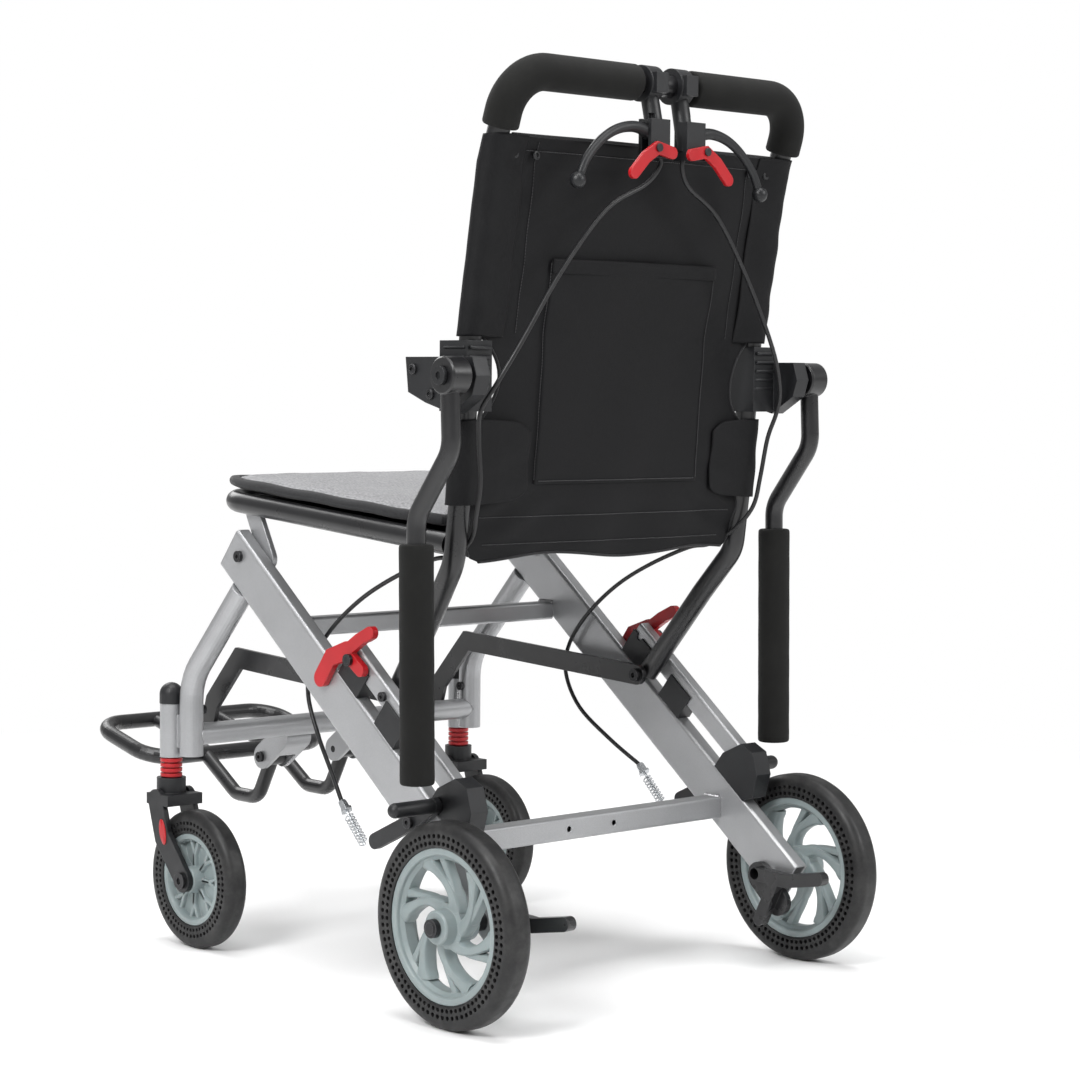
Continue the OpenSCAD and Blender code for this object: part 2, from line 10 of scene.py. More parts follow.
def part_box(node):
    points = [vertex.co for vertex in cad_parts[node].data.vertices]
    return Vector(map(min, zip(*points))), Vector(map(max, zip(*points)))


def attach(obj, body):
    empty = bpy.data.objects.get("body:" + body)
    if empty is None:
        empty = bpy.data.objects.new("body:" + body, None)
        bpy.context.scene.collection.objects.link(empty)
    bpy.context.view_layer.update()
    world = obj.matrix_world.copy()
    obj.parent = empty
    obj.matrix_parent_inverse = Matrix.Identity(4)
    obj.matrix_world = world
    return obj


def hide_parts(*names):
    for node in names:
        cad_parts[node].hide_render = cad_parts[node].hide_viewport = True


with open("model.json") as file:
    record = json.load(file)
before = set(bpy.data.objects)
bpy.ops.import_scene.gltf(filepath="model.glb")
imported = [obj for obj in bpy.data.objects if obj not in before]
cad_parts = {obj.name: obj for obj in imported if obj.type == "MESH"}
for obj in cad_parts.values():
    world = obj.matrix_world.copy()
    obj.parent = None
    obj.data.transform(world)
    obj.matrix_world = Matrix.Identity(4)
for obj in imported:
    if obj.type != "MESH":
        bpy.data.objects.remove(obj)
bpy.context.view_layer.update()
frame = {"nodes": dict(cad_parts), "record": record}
NODES = frame["nodes"]
BOTH = (("left", 1), ("right", -1))
MM = 0.001
# Y of the rear axle in the part's frame: the chair is measured from this line.
AXLE_Y = (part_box("rear_rim_left")[0].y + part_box("rear_rim_left")[1].y) / 2


# ---------------------------------------------------------------- places
def at(x, y, z):
    """A point given in millimetres from the rear axle line on the floor."""
    return Vector((x * MM, AXLE_Y + y * MM, z * MM))


def sided(points, side):
    return [(p[0] * side, p[1], p[2]) for p in points]


TUBE_R = 11
TUBE_X = 198
REAR_X, REAR_R = 247, 100
CASTER_X, CASTER_Y, CASTER_R = 209, -465, 75
BACK_LOW = [(180, -168, 298), (190, -95, 393), (198, -58, 440), (198, -50, 500),
            (198, -36, 660), (198, -8, 826), (198, 22, 911)]
BACK_PATH = BACK_LOW + sided(BACK_LOW[::-1], -1)
SEAT_PATH = [(196, -66, 458), (196, -346, 481), (196, -446, 489),
             (-196, -446, 489), (-196, -346, 481), (-196, -66, 458)]
GRIP_PATH = [(198, 4, 858), (198, 22, 911), (38, 22, 911)]
ARM_PATH = [(253, -2, 614), (253, 1, 552), (253, -50, 486), (253, -46, 236)]
CABLE_PATH = [(20, 38, 843), (15, 37, 832), (30, 32, 812), (78, 26, 785), (130, 20, 725),
              (176, 14, 656), (200, 4, 614), (209, -8, 588), (204, -16, 560), (198, -20, 520),
              (196, -28, 488), (187, -45, 464), (181, -76, 446), (182, -110, 440),
              (183, -170, 418), (184, -222, 392), (185, -268, 358), (185, -298, 322),
              (185, -304, 288), (188, -284, 250), (200, -246, 216), (213, -212, 190)]


def back_y(z):
    """Y of the back tube's centre line at height z, in mm from the axle line."""
    for a, b in zip(BACK_LOW[2:], BACK_LOW[3:]):
        if z <= b[2] or b is BACK_LOW[-1]:
            return a[1] + (z - a[2]) * (b[1] - a[1]) / (b[2] - a[2])


# ---------------------------------------------------------------- materials
class Shader:
    """A Principled material whose colour, roughness and bump come from procedural nodes."""

    def __init__(self, name):
        self.mat = bpy.data.materials.new(name)
        self.mat.use_nodes = True
        self.tree = self.mat.node_tree
        self.bsdf = self.tree.nodes["Principled BSDF"]
        self.coords = self.node("ShaderNodeTexCoord").outputs["Object"]
        self.bump_from = None

    def node(self, kind, **props):
        n = self.tree.nodes.new(kind)
        for key, value in props.items():
            setattr(n, key, value)
        return n

    def link(self, a, b):
        self.tree.links.new(a, b)

    def set(self, **sockets):
        for key, value in sockets.items():
            self.bsdf.inputs[key.replace("_", " ")].default_value = value
        return self

    def noise(self, scale, detail=4.0, rough=0.55, stretch=None):
        n = self.node("ShaderNodeTexNoise")
        n.inputs["Scale"].default_value = scale
        n.inputs["Detail"].default_value = detail
        n.inputs["Roughness"].default_value = rough
        source = self.coords
        if stretch:
            m = self.node("ShaderNodeMapping")
            m.inputs["Scale"].default_value = stretch
            self.link(self.coords, m.inputs["Vector"])
            source = m.outputs["Vector"]
        self.link(source, n.inputs["Vector"])
        return n.outputs["Fac"]

    def remap(self, value, low, high, out_low, out_high):
        n = self.node("ShaderNodeMapRange")
        for socket, v in zip(("From Min", "From Max", "To Min", "To Max"),
                             (low, high, out_low, out_high)):
            n.inputs[socket].default_value = v
        self.link(value, n.inputs["Value"])
        return n.outputs["Result"]

    def math(self, op, a, b):
        n = self.node("ShaderNodeMath", operation=op)
        for socket, v in zip(n.inputs, (a, b)):
            if isinstance(v, (int, float)):
                socket.default_value = v
            else:
                self.link(v, socket)
        return n.outputs[0]

    def mix(self, fac, a, b):
        n = self.node("ShaderNodeMix", data_type="RGBA")
        self.link(fac, n.inputs["Factor"])
        for socket, v in ((n.inputs[6], a), (n.inputs[7], b)):
            if isinstance(v, tuple):
                socket.default_value = (*v, 1)
            else:
                self.link(v, socket)
        return n.outputs[2]

    def edge(self, radius):
        """1 on convex and concave edges, 0 on flat faces."""
        bevel = self.node("ShaderNodeBevel", samples=4)
        bevel.inputs["Radius"].default_value = radius
        geometry = self.node("ShaderNodeNewGeometry")
        dot = self.node("ShaderNodeVectorMath", operation="DOT_PRODUCT")
        self.link(bevel.outputs["Normal"], dot.inputs[0])
        self.link(geometry.outputs["Normal"], dot.inputs[1])
        return self.remap(dot.outputs["Value"], 1.0, 0.9, 0.0, 1.0)

    def colour(self, socket):
        self.link(socket, self.bsdf.inputs["Base Color"])

    def rough(self, socket):
        self.link(socket, self.bsdf.inputs["Roughness"])

    def bump(self, height, strength, distance, soft_edge=0.0):
        n = self.node("ShaderNodeBump")
        n.inputs["Strength"].default_value = strength
        n.inputs["Distance"].default_value = distance
        self.link(height, n.inputs["Height"])
        if self.bump_from:
            self.link(self.bump_from, n.inputs["Normal"])
        elif soft_edge:
            bevel = self.node("ShaderNodeBevel", samples=6)
            bevel.inputs["Radius"].default_value = soft_edge
            self.link(bevel.outputs["Normal"], n.inputs["Normal"])
        self.bump_from = n.outputs["Normal"]
        self.link(self.bump_from, self.bsdf.inputs["Normal"])
        return self


def painted_metal(name, base, flake_wear_and_highlight, flake, rough, metallic, coat, soft_edge):
    """Powder-coated or anodised tube: fine flake, soft mottling, and edges painted paler, partly as
    rubbed wear and partly as a painted highlight.
    """
    s = Shader(name)
    s.set(Metallic=metallic, Coat_Weight=coat, Coat_Roughness=0.28)
    cloud = s.remap(s.noise(9, 3), 0.3, 0.7, 0.0, 1.0)
    body = s.mix(cloud, tuple(c * 0.9 for c in base), tuple(c * 1.07 for c in base))
    grain = s.remap(s.noise(2600, 1), 0.35, 0.75, 0.0, flake)
    body = s.mix(grain, body, flake_wear_and_highlight)
    # Painted highlight: convex and concave edges are painted towards the paler tone, standing for
    # light catching them as well as for rubbed wear.
    s.colour(s.mix(s.math("MULTIPLY", s.edge(0.0012), 0.45), body, flake_wear_and_highlight))
    s.rough(s.remap(s.noise(34, 5), 0.3, 0.7, rough - 0.06, rough + 0.08))
    s.bump(s.noise(1500, 2), 0.12, 0.0002, soft_edge)
    return s.mat


def moulded_plastic(name, base, rough, grain, soft_edge, light=None, subsurface=0.0):
    """Injection-moulded plastic: spark-eroded grain, and a painted highlight on the edges, which
    are painted paler.
    """
    s = Shader(name)
    s.set(Specular_IOR_Level=0.45, Subsurface_Weight=subsurface, Subsurface_Scale=0.004)
    # pale is the painted highlight colour for the edges: the light argument when given, else a
    # lifted base colour.
    pale = light or tuple(min(1.0, c * 1.8 + 0.015) for c in base)
    cloud = s.remap(s.noise(22, 4), 0.3, 0.7, 0.0, 1.0)
    body = s.mix(cloud, tuple(c * 0.88 for c in base), tuple(c * 1.1 for c in base))
    # Painted highlight: edges are painted towards the pale tone.
    s.colour(s.mix(s.math("MULTIPLY", s.edge(0.0009), 0.5), body, pale))
    s.rough(s.remap(s.noise(60, 5), 0.3, 0.7, rough - 0.07, rough + 0.07))
    s.bump(s.noise(1900, 2), grain, 0.0003, soft_edge)
    return s.mat


def foam_rubber(name, base):
    """Closed-cell foam sleeve: matte, finely pored and dusty."""
    s = Shader(name)
    s.set(Specular_IOR_Level=0.16, Sheen_Weight=0.04, Sheen_Roughness=0.6)
    dust = s.remap(s.noise(26, 6, 0.65), 0.45, 0.75, 0.0, 0.5)
    pores = s.remap(s.noise(2200, 3), 0.3, 0.7, 0.0, 1.0)
    body = s.mix(pores, tuple(c * 0.75 for c in base), tuple(c * 1.25 for c in base))
    s.colour(s.mix(dust, body, tuple(c * 1.7 for c in base)))
    s.rough(s.remap(pores, 0, 1, 0.78, 0.92))
    s.bump(pores, 0.35, 0.0003)
    return s.mat


def tyre_rubber(name):
    """Airless tyre: matte black with a dusty bloom and a fine noise bump."""
    s = Shader(name)
    s.set(Specular_IOR_Level=0.4, Coat_Weight=0.12, Coat_Roughness=0.35)
    bloom = s.remap(s.noise(48, 6, 0.7), 0.42, 0.72, 0.0, 1.0)
    s.colour(s.mix(bloom, (0.008, 0.008, 0.0085), (0.026, 0.0255, 0.025)))
    s.rough(s.remap(s.noise(120, 4), 0.3, 0.7, 0.42, 0.62))
    s.bump(s.noise(900, 3), 0.25, 0.0004)
    return s.mat


def woven(name, dark, pale, thread, depth, speckle, rough, sheen):
    """Cloth: two crossed sets of threads, yarn-to-yarn colour change and slow fading."""
    s = Shader(name)
    s.set(Specular_IOR_Level=0.2, Sheen_Weight=sheen, Sheen_Roughness=0.45)
    split = s.node("ShaderNodeSeparateXYZ")
    s.link(s.coords, split.inputs[0])
    across = split.outputs["X"]
    down = s.math("ADD", split.outputs["Y"], split.outputs["Z"])
    step = 2 * math.pi / thread
    warp = s.math("SINE", s.math("MULTIPLY", across, step), 0)
    weft = s.math("SINE", s.math("MULTIPLY", down, step), 0)
    weave = s.remap(s.math("MULTIPLY", warp, weft), -1, 1, 0, 1)
    yarn = s.noise(900, 2, 0.6, (1.0, 0.25, 0.25))
    tone = s.math("ADD", s.math("MULTIPLY", weave, 1 - speckle),
                  s.math("MULTIPLY", s.remap(yarn, 0.3, 0.7, 0, 1), speckle))
    body = s.mix(tone, dark, pale)
    fade = s.remap(s.noise(7, 4), 0.4, 0.75, 0.0, 0.35)
    s.colour(s.mix(fade, body, tuple((a + b) * 0.62 for a, b in zip(dark, pale))))
    s.rough(s.remap(weave, 0, 1, rough + 0.08, rough - 0.06))
    s.bump(weave, depth, 0.0004)
    s.bump(s.noise(240, 4), depth * 0.5, 0.0005)
    return s.mat


def bare_metal(name, base, rough, brushed):
    """Plated or turned steel with fine lines and a little tarnish."""
    s = Shader(name)
    s.set(Metallic=1.0)
    cloud = s.remap(s.noise(90, 4), 0.35, 0.7, 0.0, 1.0)
    s.colour(s.mix(cloud, tuple(c * 0.8 for c in base), base))
    lines = s.noise(700, 3, 0.6, (1.0, 12.0, 12.0))
    s.rough(s.remap(lines, 0.3, 0.7, rough - 0.08, rough + 0.1))
    s.bump(lines, brushed, 0.0002, 0.0004)
    return s.mat


# Painted highlight: the second colour given to painted_metal is the paler tone for flake and for
# edges painted as highlight and wear. The colour before the subsurface value in red_plastic and
# wheel_plastic is the painted edge highlight.
MATERIALS = {
    "silver_paint": painted_metal("silver_paint", (0.36, 0.365, 0.375), (0.6, 0.6, 0.61),
                                  0.4, 0.36, 0.6, 0.2, 0.002),
    "black_paint": painted_metal("black_paint", (0.006, 0.006, 0.007), (0.04, 0.04, 0.042),
                                 0.08, 0.3, 0.0, 0.3, 0.001),
    "black_plastic": moulded_plastic("black_plastic", (0.011, 0.0115, 0.013), 0.42, 0.3, 0.0013),
    "red_plastic": moulded_plastic("red_plastic", (0.43, 0.009, 0.014), 0.34, 0.12, 0.0013,
                                   (0.6, 0.04, 0.04), 0.03),
    "wheel_plastic": moulded_plastic("wheel_plastic", (0.25, 0.295, 0.298), 0.42, 0.14, 0.0012,
                                     (0.38, 0.42, 0.425), 0.03),
    "tyre_rubber": tyre_rubber("tyre_rubber"),
    "foam": foam_rubber("foam", (0.0085, 0.0085, 0.008)),
    "seat_fabric": woven("seat_fabric", (0.12, 0.12, 0.123), (0.4, 0.4, 0.41), 0.0021, 0.5,
                         0.75, 0.8, 0.08),
    "back_fabric": woven("back_fabric", (0.0025, 0.0025, 0.003), (0.0085, 0.0085, 0.0096), 0.0016,
                         0.35, 0.35, 0.6, 0.01),
    "black_steel": painted_metal("black_steel", (0.022, 0.022, 0.024), (0.16, 0.16, 0.165),
                                 0.1, 0.34, 0.7, 0.1, 0.0006),
    "cable_jacket": moulded_plastic("cable_jacket", (0.012, 0.012, 0.013), 0.38, 0.1, 0.0),
    "zinc_steel": bare_metal("zinc_steel", (0.66, 0.68, 0.7), 0.3, 0.2),
}
TRIM = {
    "piping": woven("piping", (0.008, 0.008, 0.009), (0.03, 0.03, 0.032), 0.0012, 0.4,
                    0.3, 0.7, 0.2),
    "thread": woven("thread", (0.015, 0.015, 0.016), (0.06, 0.06, 0.064), 0.0008, 0.5,
                    0.3, 0.65, 0.3),
    "weld": bare_metal("weld", (0.6, 0.6, 0.61), 0.34, 0.5),
}
SLOT_OF = {s["node"]: s["material_slot"] for s in frame["record"]["subparts"]}


def dress_cad():
    for name, node in NODES.items():
        node.data.materials.clear()
        node.data.materials.append(MATERIALS[SLOT_OF[name]])


# ---------------------------------------------------------------- mesh helpers
def piece(name, verts, faces, slot, body, replaces=(), material=None, smooth=True, sharp=35):
    mesh = bpy.data.meshes.new(name)
    mesh.from_pydata([tuple(v) for v in verts], [], [tuple(f) for f in faces])
    mesh.validate()
    bm = bmesh.new()
    bm.from_mesh(mesh)
    bmesh.ops.remove_doubles(bm, verts=bm.verts, dist=1e-6)
    bmesh.ops.recalc_face_normals(bm, faces=bm.faces)
    for f in bm.faces:
        f.smooth = smooth
    for e in bm.edges:
        e.smooth = not (e.is_manifold and e.calc_face_angle(0) > math.radians(sharp))
    bm.to_mesh(mesh)
    bm.free()
    obj = bpy.data.objects.new(name, mesh)
    bpy.context.scene.collection.objects.link(obj)
    obj.data.materials.append(material or MATERIALS[slot])
    if body:
        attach(obj, body)
    if replaces:
        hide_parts(*replaces)
    return obj


class Build:
    """Collects the points and faces of one piece."""

    def __init__(self):
        self.verts, self.faces = [], []

    def add(self, verts, faces):
        base = len(self.verts)
        self.verts += [Vector(v) for v in verts]
        self.faces += [[base + i for i in f] for f in faces]
        return self

    def loft(self, rings, closed=False, caps=True):
        """Joins rings of equal count; the last joins the first when closed."""
        n, m = len(rings), len(rings[0])
        faces = [(i * m + k, i * m + (k + 1) % m, ((i + 1) % n) * m + (k + 1) % m,
                  ((i + 1) % n) * m + k)
                 for i in range(n if closed else n - 1) for k in range(m)]
        if caps and not closed:
            faces += [tuple(range(m))[::-1], tuple((n - 1) * m + k for k in range(m))]
        return self.add([v for ring in rings for v in ring], faces)

    def tube(self, points, r, sides=28, closed=False, round_ends=0.0):
        return self.loft(tube_rings(points, r, sides, closed, round_ends), closed)

    def lathe(self, centre, axis, profile, count=72, closed=True):
        """Turns (along, radius) points about an axis through centre."""
        axis = Vector(axis).normalized()
        side = axis.orthogonal().normalized()
        up = axis.cross(side)
        rings = []
        for i in range(count):
            a = 2 * math.pi * i / count
            out = side * math.cos(a) + up * math.sin(a)
            rings.append([Vector(centre) + axis * p * MM + out * r * MM for p, r in profile])
        m = len(profile)
        faces = [(i * m + k, i * m + (k + 1) % m, ((i + 1) % count) * m + (k + 1) % m,
                  ((i + 1) % count) * m + k)
                 for i in range(count) for k in range(m if closed else m - 1)]
        return self.add([v for ring in rings for v in ring], faces)


def bend_points(points, bend, closed=False, step=7):
    """The points with an arc of radius bend, in mm, at each inner corner."""
    pts = [Vector(p) for p in points]
    n, out = len(pts), []
    for i, p in enumerate(pts):
        if not closed and i in (0, n - 1):
            out.append(p)
            continue
        u = (p - pts[i - 1]).normalized()
        w = (pts[(i + 1) % n] - p).normalized()
        turn = u.angle(w)
        cut = bend * math.tan(turn / 2)
        normal = u.cross(w).normalized()
        e = u.cross(normal)
        start = p - u * cut
        steps = max(2, math.ceil(math.degrees(turn) / step))
        for k in range(steps + 1):
            a = turn * k / steps
            out.append(start - e * bend + (e * math.cos(a) + u * math.sin(a)) * bend)
    return out


def smooth_points(points, steps):
    """A Catmull-Rom curve through the points."""
    p = [Vector(q) for q in points]
    n, out = len(p) - 1, []
    for i in range(n):
        a, b, c, d = p[max(i - 1, 0)], p[i], p[i + 1], p[min(i + 2, n)]
        for k in range(steps):
            u = k / steps
            out.append(0.5 * (2 * b + (c - a) * u + (2 * a - 5 * b + 4 * c - d) * u * u
                              + (3 * b - a - 3 * c + d) * u ** 3))
    return out + [p[n]]


def round_off(stations, outward, radius):
    """Replaces the last (centre, radius, frame) station by a few that round its edge."""
    centre, r, axes = stations[-1]
    turns = (0, math.pi / 6, math.pi / 3, math.pi / 2)
    return stations[:-1] + [(centre + outward * radius * (math.sin(a) - 1),
                             r - radius * (1 - math.cos(a)), axes) for a in turns]


def tube_rings(points, r, sides, closed=False, round_ends=0.0):
    """Rings round mm points, in metres; r is a radius or one radius for each point."""
    pts = [Vector(p) for p in points]
    n = len(pts)
    radii = list(r) if hasattr(r, "__len__") else [r] * n
    tangents = [(pts[(i + 1) % n] - pts[i - 1]).normalized() if closed or 0 < i < n - 1
                else ((pts[1] - pts[0]) if i == 0 else (pts[-1] - pts[-2])).normalized()
                for i in range(n)]
    side = tangents[0].orthogonal().normalized()
    stations = []
    for p, radius, t in zip(pts, radii, tangents):
        side = (side - t * side.dot(t)).normalized()
        stations.append((p, radius, (side.copy(), t.cross(side))))
    if round_ends and not closed:
        stations = round_off(stations[::-1], -tangents[0], round_ends)[::-1]
        stations = round_off(stations, tangents[-1], round_ends)
    angles = [2 * math.pi * k / sides for k in range(sides)]
    return [[at(*(p + (s * math.cos(a) + u * math.sin(a)) * radius)) for a in angles]
            for p, radius, (s, u) in stations]


def modifier(obj, kind, **props):
    """Adds a modifier, applies it and keeps the mesh."""
    m = obj.modifiers.new(kind, kind)
    for key, value in props.items():
        setattr(m, key, value)
    with bpy.context.temp_override(object=obj, active_object=obj, selected_objects=[obj]):
        bpy.ops.object.modifier_apply(modifier=m.name)
    return obj


# ---------------------------------------------------------------- frame tubes
def make_tubes():
    b = Build().tube(bend_points(BACK_PATH, 42), TUBE_R, round_ends=2)
    piece("back_tube_skin", b.verts, b.faces, "black_paint", "frame", ["back_tube"])
    b = Build().tube(bend_points(SEAT_PATH, 45), TUBE_R)
    piece("seat_frame_skin", b.verts, b.faces, "black_paint", "frame", ["seat_frame"])
    for name, side in BOTH:
        path = bend_points(sided(ARM_PATH, side), 34)
        b = Build().tube(path, 9.5)
        knuckle = [(-12, 8), (-12, 16.5), (-10.5, 18), (10.5, 18), (12, 16.5), (12, 8)]
        b.lathe(at(side * 251.5, -2, 622), (1, 0, 0), knuckle, 48)
        piece(f"arm_tube_skin_{name}", b.verts, b.faces, "black_paint", f"armrest_{name}",
              [f"arm_tube_{name}"])


def make_foam():
    for name, side in BOTH:
        path = bend_points(sided(GRIP_PATH, side), 42, step=5)
        b = Build().tube(path, 18, 40, round_ends=3)
        grip = piece(f"push_grip_{name}", b.verts, b.faces, "foam", "frame")
        if side > 0:
            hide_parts("push_grips")
        low, high = Vector((253 * side, -46, 229.5)), Vector((253 * side, -49.6, 461))
        path = [low.lerp(high, k / 24) for k in range(25)]
        radii = [16.9 + 0.1 * math.sin(k * 1.7) for k in range(25)]
        b = Build().tube(path, radii, 40, round_ends=3)
        pad = piece(f"arm_foam_{name}", b.verts, b.faces, "foam", f"armrest_{name}",
                    [f"arm_pad_{name}"])


LEVER_PATH = [(31, 38, 861), (52, 38, 866), (76, 38, 862), (98, 38, 850), (116, 38, 832),
              (125, 38, 816)]


def make_brake_levers():
    """Curved brake levers, thick at the pivot, ending in a ball."""
    for name, side in BOTH:
        path = smooth_points(sided(LEVER_PATH, side), 8)
        radii = [6.4 - 2.2 * math.sin(math.pi * min(1.0, k / len(path) * 1.15) * 0.5)
                 for k in range(len(path))]
        b = Build().tube(path, radii, 24, round_ends=1.5)
        ball = [(-8 * math.cos(math.pi * k / 16), max(0.05, 8 * math.sin(math.pi * k / 16)))
                for k in range(17)]
        b.lathe(at(128 * side, 38, 810), (side * 0.5, 0, -0.87), ball, 32)
        pivot = [(-4.2, 2.6), (-4.2, 7), (4.2, 7), (4.2, 2.6)]
        b.lathe(at(33 * side, 38, 862), (0, 1, 0), pivot, 32)
        piece(f"brake_lever_skin_{name}", b.verts, b.faces, "black_plastic", f"lever_{name}",
              [f"brake_lever_{name}"])


def make_cables():
    for name, side in BOTH:
        b = Build().tube(smooth_points(sided(CABLE_PATH, side), 6), 2.3, 12)
        o = piece(f"brake_cable_{name}", b.verts, b.faces, "cable_jacket", "frame")
        if side > 0:
            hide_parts("brake_cables")


# ---------------------------------------------------------------- wheels
def spoke_curve(hub, rim, start, sweep, count=14):
    """Centre line of a spoke that leaves the hub and curls as it nears the rim."""
    out = []
    for k in range(count + 1):
        t = k / count
        r = hub + (rim - hub) * t
        a = start + sweep * (math.sin(t * math.pi * 0.62) / math.sin(math.pi * 0.62)) * 0.55 \
            + sweep * 0.45 * t * t
        out.append((r * math.cos(a), r * math.sin(a)))
    return out


def flat_spoke(b, centre, line, widths, half, crown):
    """A spoke of rounded section along a 2D line in the wheel's plane (Y, Z)."""
    rings = []
    section = [(math.cos(a), math.sin(a)) for a in
               [2 * math.pi * (k + 0.5) / 16 for k in range(16)]]
    n = len(line)
    for i, (y, z) in enumerate(line):
        p, q = line[max(i - 1, 0)], line[min(i + 1, n - 1)]
        t = Vector((q[0] - p[0], q[1] - p[1])).normalized()
        out = Vector((-t.y, t.x))
        ring = []
        for c, s in section:
            along = math.copysign(abs(c) ** 0.6, c) * widths[i]
            deep = math.copysign(abs(s) ** crown, s) * half
            ring.append(centre + Vector((deep, y + out.x * along, z + out.y * along)) * MM)
        rings.append(ring)
    b.loft(rings)


def make_rear_wheels():
    for name, side in BOTH:
        c = at(side * REAR_X, 0, REAR_R)
        b = Build()
        barrel = [(-13, 74.6), (-12.6, 75), (12.6, 75), (13, 74.6), (13, 69), (12, 67.8), (9, 67),
                  (6, 63.5), (-6, 63.5), (-9, 67), (-12, 67.8), (-13, 69)]
        b.lathe(c, (1, 0, 0), barrel, 120)
        hub = [(-21.5, 6.1), (-21.5, 15), (-20, 16.5), (-9, 18), (-7, 22), (7, 22), (9, 18),
               (20, 16.5), (21.5, 15), (21.5, 6.1)]
        b.lathe(c, (1, 0, 0), hub, 64)
        for k in range(6):
            start = 2 * math.pi * k / 6
            line = spoke_curve(17, 66.5, start, side * math.radians(58))
            widths = [9 - 4.4 * math.sin(math.pi * i / 14) + (1.5 if i > 12 else 0)
                      for i in range(15)]
            flat_spoke(b, c, line, widths, 8.5, 0.55)
            line = spoke_curve(30, 65, start + side * math.radians(17), side * math.radians(22), 8)
            flat_spoke(b, c, line, [5.2 - 1.6 * math.sin(math.pi * i / 8) for i in range(9)],
                       6, 0.6)
        piece(f"rear_rim_skin_{name}", b.verts, b.faces, "wheel_plastic", f"rear_wheel_{name}",
              [f"rear_rim_{name}"], sharp=30)
        make_tyre(f"rear_tyre_skin_{name}", c, REAR_R, 75.1, 15, 76, 2,
                  f"rear_wheel_{name}", f"rear_tyre_{name}")


def sidewall_profile(outer, half, face, steps=9):
    """Profile from the inner sidewall edge over the tread, without the flat sidewalls."""
    corner = outer - face
    out = []
    for k in range(steps + 1):
        a = math.pi / 2 * k / steps
        flat, bend = half * 0.92, half * 0.08
        out.append((flat - flat * (1 - math.cos(a)) * 0.62 + bend * math.cos(a),
                    face + corner * math.sin(a)))
    return out


def blind_hole(b, centre, side, half, low, high, a0, a1):
    """A square of sidewall from radius low to high and angle a0 to a1, with a round hole in it."""
    mid_r, mid_a = (low + high) / 2, (a0 + a1) / 2
    corners = [(low, a0), (low, mid_a), (low, a1), (mid_r, a1),
               (high, a1), (high, mid_a), (high, a0), (mid_r, a0)]
    hole_r = min(high - low, mid_r * (a1 - a0)) * 0.33

    def on_wall(depth, r, a):
        return centre + Vector((side * (half - depth), r * math.cos(a), r * math.sin(a))) * MM

    rings = [[on_wall(0, r, a) for r, a in corners]]
    for depth, grow in ((0, 1.08), (0.7, 0.95), (6, 0.85)):
        ring = []
        for r, a in corners:
            turn = math.atan2(r - mid_r, (a - mid_a) * mid_r)
            hole_at = mid_r + math.sin(turn) * hole_r * grow
            ring.append(on_wall(depth, hole_at, mid_a + math.cos(turn) * hole_r * grow / mid_r))
        rings.append(ring)
    last, n = len(b.verts) + 3 * len(corners), len(corners)
    b.loft(rings, caps=False)
    b.faces.append([last + j for j in range(n)])


def make_tyre(name, centre, outer, inner, half, holes, rows, body, node):
    """An airless tyre: a rounded tread and sidewalls pierced by rings of blind round holes."""
    b = Build()
    bead = 1.2
    pitch = (outer - inner) * 0.27
    side_pts = sidewall_profile(outer, half, inner + bead + rows * pitch)
    shell = side_pts + [(-p, r) for p, r in side_pts[::-1]]
    b.lathe(centre, (1, 0, 0), shell, holes * 2, closed=False)
    inside = [(half, inner + bead), (half - 1, inner), (-half + 1, inner), (-half, inner + bead)]
    b.lathe(centre, (1, 0, 0), inside, holes * 2, closed=False)
    step = 2 * math.pi / holes
    for side in (-1, 1):
        for row in range(rows):
            low = inner + bead + row * pitch
            for k in range(holes):
                blind_hole(b, centre, side, half, low, low + pitch, k * step, (k + 1) * step)
    piece(name, b.verts, b.faces, "tyre_rubber", body, [node], sharp=40)


def make_caster_wheels():
    for name, side in BOTH:
        c = at(side * CASTER_X, CASTER_Y, CASTER_R)
        b = Build()
        barrel = [(-11, 49.6), (-10.6, 50), (10.6, 50), (11, 49.6), (11, 44.5), (10, 43.4), (7, 42),
                  (-7, 42), (-10, 43.4), (-11, 44.5)]
        b.lathe(c, (1, 0, 0), barrel, 96)
        b.lathe(c, (1, 0, 0), [(-16, 6.1), (-16, 12), (-15, 13.5), (-7, 15), (7, 15), (15, 13.5),
                               (16, 12), (16, 6.1)], 48)
        for k in range(8):
            a = 2 * math.pi * k / 8
            for fork in (-0.16, 0.16):
                line = [(12 * math.cos(a), 12 * math.sin(a)), (26 * math.cos(a), 26 * math.sin(a)),
                        (44 * math.cos(a + fork), 44 * math.sin(a + fork))]
                flat_spoke(b, c, line, [3.2, 2.4, 2.8], 7, 0.6)
        b.lathe(c, (1, 0, 0), [(-2, 13), (2, 13), (2, 43), (-2, 43)], 64)
        piece(f"caster_rim_skin_{name}", b.verts, b.faces, "wheel_plastic",
              f"caster_wheel_{name}", [f"caster_rim_{name}"], sharp=30)
        make_tyre(f"caster_tyre_skin_{name}", c, CASTER_R, 50.1, 13, 60, 2,
                  f"caster_wheel_{name}", f"caster_tyre_{name}")


# ---------------------------------------------------------------- cloth
SLING_TOP, SLEEVE_LOW, FLAP_TOP, FLAP_LOW, SLING_LOW = 852, 662, 574, 504, 440


def edge_x(z):
    """Half-width of the back panel at height z."""
    if z >= SLEEVE_LOW:
        return 192
    if z > FLAP_TOP:
        t = (z - FLAP_TOP) / (SLEEVE_LOW - FLAP_TOP)
        return 190 - 27 * math.sin(math.pi * t) ** 0.7
    if z >= FLAP_LOW - 20:
        return 188
    corner = max(0.0, (SLING_LOW + 22 - z) / 22)
    return 186 - 22 * (1 - math.sqrt(max(0.0, 1 - corner * corner)))


